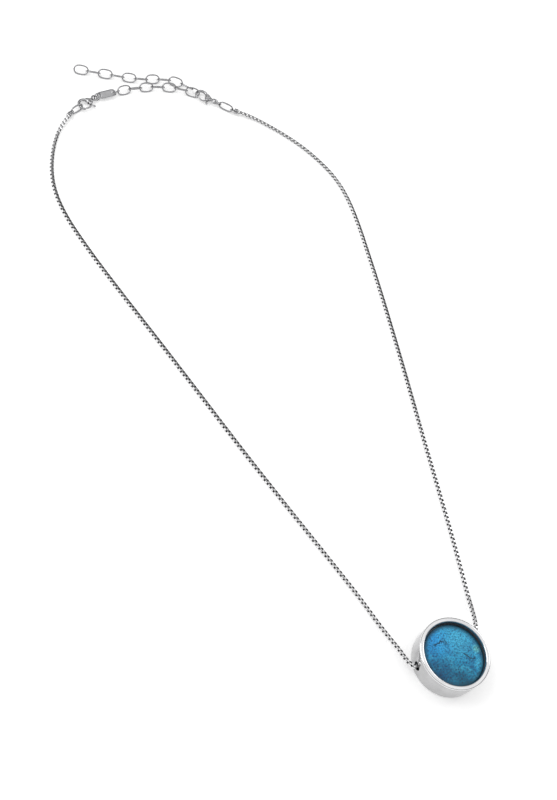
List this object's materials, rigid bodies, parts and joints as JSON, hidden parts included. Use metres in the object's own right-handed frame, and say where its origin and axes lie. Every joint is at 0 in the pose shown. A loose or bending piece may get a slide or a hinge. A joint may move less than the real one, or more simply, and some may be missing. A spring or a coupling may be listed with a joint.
{
  "type": "pendant necklace",
  "caption": "Round drum pendant with a blue stone in a polished rim, sliding on a box chain that closes with lobster clasps and an oval link extender.",
  "frame": {"origin": "middle of the pendant drum's flat back face, which lies on the table", "axes": "+Z out of the stone face, +X along the chain passage through the drum, +Y from the pendant towards the clasps"},
  "size_m": [0.1047, 0.2583, 0.0084],
  "materials": {
    "polished_silver": "high polish sterling silver",
    "silver_wire": "polished drawn silver wire",
    "chain_silver": "polished links with dark gaps",
    "oxidised_silver": "blackened matt silver",
    "turquoise_stone": "polished mottled blue stone",
    "hidden_metal": "plain inner metal"
  },
  "bodies": {
    "chain": {"chain": "chain_silver", "left_chain_cap": "polished_silver", "right_chain_cap": "polished_silver"},
    "pendant": {"side_band": "polished_silver", "front_rim": "polished_silver", "recess_cup": "oxidised_silver", "stone": "turquoise_stone", "stone_backing": "hidden_metal", "back_plate": "polished_silver", "guide_tube": "hidden_metal"},
    "left_end_ring": {"left_end_ring": "silver_wire"},
    "right_end_ring": {"right_end_ring": "silver_wire"},
    "clasp_1": {"clasp_1_body": "polished_silver", "clasp_1_spring": "hidden_metal", "clasp_1_pin": "hidden_metal"},
    "clasp_1_lever": {"clasp_1_lever": "polished_silver"},
    "clasp_2": {"clasp_2_body": "polished_silver", "clasp_2_spring": "hidden_metal", "clasp_2_pin": "hidden_metal"},
    "clasp_2_lever": {"clasp_2_lever": "polished_silver"},
    "left_jump_ring": {"left_jump_ring": "silver_wire"},
    "right_jump_ring": {"right_jump_ring": "silver_wire"},
    "tag": {"tag": "polished_silver"},
    "tag_ring": {"tag_ring": "silver_wire"},
    "link_a": {"link_a": "silver_wire"},
    "link_b": {"link_b": "silver_wire"},
    "link_c": {"link_c": "silver_wire"},
    "link_d": {"link_d": "silver_wire"},
    "link_e": {"link_e": "silver_wire"},
    "link_f": {"link_f": "silver_wire"},
    "link_g": {"link_g": "silver_wire"},
    "link_h": {"link_h": "silver_wire"},
    "link_i": {"link_i": "silver_wire"},
    "link_j": {"link_j": "silver_wire"},
    "link_k": {"link_k": "silver_wire"},
    "link_l": {"link_l_piece": "silver_wire"},
    "link_m": {"link_m": "silver_wire"},
    "link_n": {"link_n": "silver_wire"},
    "link_o": {"link_o": "silver_wire"},
    "link_p": {"link_p": "silver_wire"},
    "link_q": {"link_q": "silver_wire"}
  },
  "joints": [
    {"name": "pendant_turn", "type": "hinge", "parent": "chain", "child": "pendant", "pos_m": [0, 0.0031, 0.0034], "axis": [1, 0, 0], "continuous": true},
    {"name": "left_end_ring_roll", "type": "hinge", "parent": "chain", "child": "left_end_ring", "pos_m": [-0.00191, 0.22953, 0.00135], "axis": [0.9781, 0.2079, 0], "range_deg": [-5, 10]},
    {"name": "clasp_1_roll", "type": "hinge", "parent": "chain", "child": "clasp_1", "pos_m": [0.00168, 0.23035, 0.00135], "axis": [0.9659, 0.2588, 0], "range_deg": [-6, 4]},
    {"name": "clasp_1_thumb_lever", "type": "hinge", "parent": "clasp_1", "child": "clasp_1_lever", "pos_m": [0.00416, 0.22998, 0.00135], "axis": [0, 0, -1], "range_deg": [0, 15], "stiffness_Nm_per_rad": 0.002, "springref_deg": -11.46},
    {"name": "left_jump_ring_roll", "type": "hinge", "parent": "chain", "child": "left_jump_ring", "pos_m": [0.00797, 0.23181, 0.00135], "axis": [0.9962, 0.0872, 0], "range_deg": [-12, 12]},
    {"name": "tag_roll", "type": "hinge", "parent": "chain", "child": "tag", "pos_m": [0.01188, 0.23178, 0.00135], "axis": [0.9986, -0.0523, 0], "range_deg": [-10, 10]},
    {"name": "tag_ring_roll", "type": "hinge", "parent": "chain", "child": "tag_ring", "pos_m": [0.0158, 0.23155, 0.00135], "axis": [0.9976, -0.0698, 0], "range_deg": [-12, 12]},
    {"name": "link_a_roll", "type": "hinge", "parent": "chain", "child": "link_a", "pos_m": [0.01903, 0.23121, 0.00135], "axis": [0.9945, -0.1045, 0], "range_deg": [-9, 9]},
    {"name": "link_b_roll", "type": "hinge", "parent": "chain", "child": "link_b", "pos_m": [0.02339, 0.2306, 0.00135], "axis": [0.9848, -0.1736, 0], "range_deg": [-9, 9]},
    {"name": "link_c_roll", "type": "hinge", "parent": "chain", "child": "link_c", "pos_m": [0.02769, 0.22969, 0.00135], "axis": [0.9703, -0.2419, 0], "range_deg": [-9, 9]},
    {"name": "link_d_roll", "type": "hinge", "parent": "chain", "child": "link_d", "pos_m": [0.03191, 0.22844, 0.00135], "axis": [0.9455, -0.3256, 0], "range_deg": [-9, 9]},
    {"name": "link_e_roll", "type": "hinge", "parent": "chain", "child": "link_e", "pos_m": [0.03598, 0.22679, 0.00135], "axis": [0.9063, -0.4226, 0], "range_deg": [-9, 9]},
    {"name": "link_f_roll", "type": "hinge", "parent": "chain", "child": "link_f", "pos_m": [0.03982, 0.22467, 0.00135], "axis": [0.8387, -0.5446, 0], "range_deg": [-9, 9]},
    {"name": "link_g_roll", "type": "hinge", "parent": "chain", "child": "link_g", "pos_m": [0.04335, 0.22205, 0.00135], "axis": [0.766, -0.6428, 0], "range_deg": [-3, 8]},
    {"name": "clasp_2_roll", "type": "hinge", "parent": "chain", "child": "clasp_2", "pos_m": [0.04591, 0.21968, 0.00135], "axis": [0.6428, -0.766, 0], "range_deg": [-8, 2]},
    {"name": "clasp_2_thumb_lever", "type": "hinge", "parent": "clasp_2", "child": "clasp_2_lever", "pos_m": [0.04662, 0.21727, 0.00135], "axis": [0, 0, -1], "range_deg": [0, 15], "stiffness_Nm_per_rad": 0.002, "springref_deg": -11.46},
    {"name": "right_jump_ring_roll", "type": "hinge", "parent": "chain", "child": "right_jump_ring", "pos_m": [0.05003, 0.21469, 0.00135], "axis": [0.6157, -0.788, 0], "range_deg": [-12, 12]},
    {"name": "right_end_ring_roll", "type": "hinge", "parent": "chain", "child": "right_end_ring", "pos_m": [0.05205, 0.21211, 0.00135], "axis": [0.6157, -0.788, 0], "range_deg": [-12, 12]},
    {"name": "link_h_swing", "type": "hinge", "parent": "chain", "child": "link_h", "pos_m": [0.04365, 0.22272, 0.00206], "axis": [0, 0, 1], "range_deg": [-25, 0]},
    {"name": "link_i_swing", "type": "hinge", "parent": "link_h", "child": "link_i", "pos_m": [0.04136, 0.22681, 0.00135], "axis": [0, 0, 1], "range_deg": [-25, 0]},
    {"name": "link_j_swing", "type": "hinge", "parent": "link_i", "child": "link_j", "pos_m": [0.03809, 0.22975, 0.00135], "axis": [0, 0, 1], "range_deg": [-25, 0]},
    {"name": "link_k_swing", "type": "hinge", "parent": "link_j", "child": "link_k", "pos_m": [0.03401, 0.2314, 0.00135], "axis": [0, 0, 1], "range_deg": [-25, 0]},
    {"name": "link_l_swing", "type": "hinge", "parent": "link_k", "child": "link_l", "pos_m": [0.02985, 0.23283, 0.00135], "axis": [0, 0, 1], "range_deg": [-25, 4]},
    {"name": "link_m_swing", "type": "hinge", "parent": "link_l", "child": "link_m", "pos_m": [0.02577, 0.23448, 0.00135], "axis": [0, 0, 1], "range_deg": [-25, 4]},
    {"name": "link_n_swing", "type": "hinge", "parent": "link_m", "child": "link_n", "pos_m": [0.02189, 0.23655, 0.00135], "axis": [0, 0, 1], "range_deg": [-25, 4]},
    {"name": "link_o_swing", "type": "hinge", "parent": "link_n", "child": "link_o", "pos_m": [0.01808, 0.23875, 0.00135], "axis": [0, 0, 1], "range_deg": [-25, 4]},
    {"name": "link_p_swing", "type": "hinge", "parent": "link_o", "child": "link_p", "pos_m": [0.01427, 0.24095, 0.00135], "axis": [0, 0, 1], "range_deg": [-25, 4]},
    {"name": "link_q_swing", "type": "hinge", "parent": "link_p", "child": "link_q", "pos_m": [0.01046, 0.24315, 0.00135], "axis": [0, 0, 1], "range_deg": [-25, 4]}
  ]
}
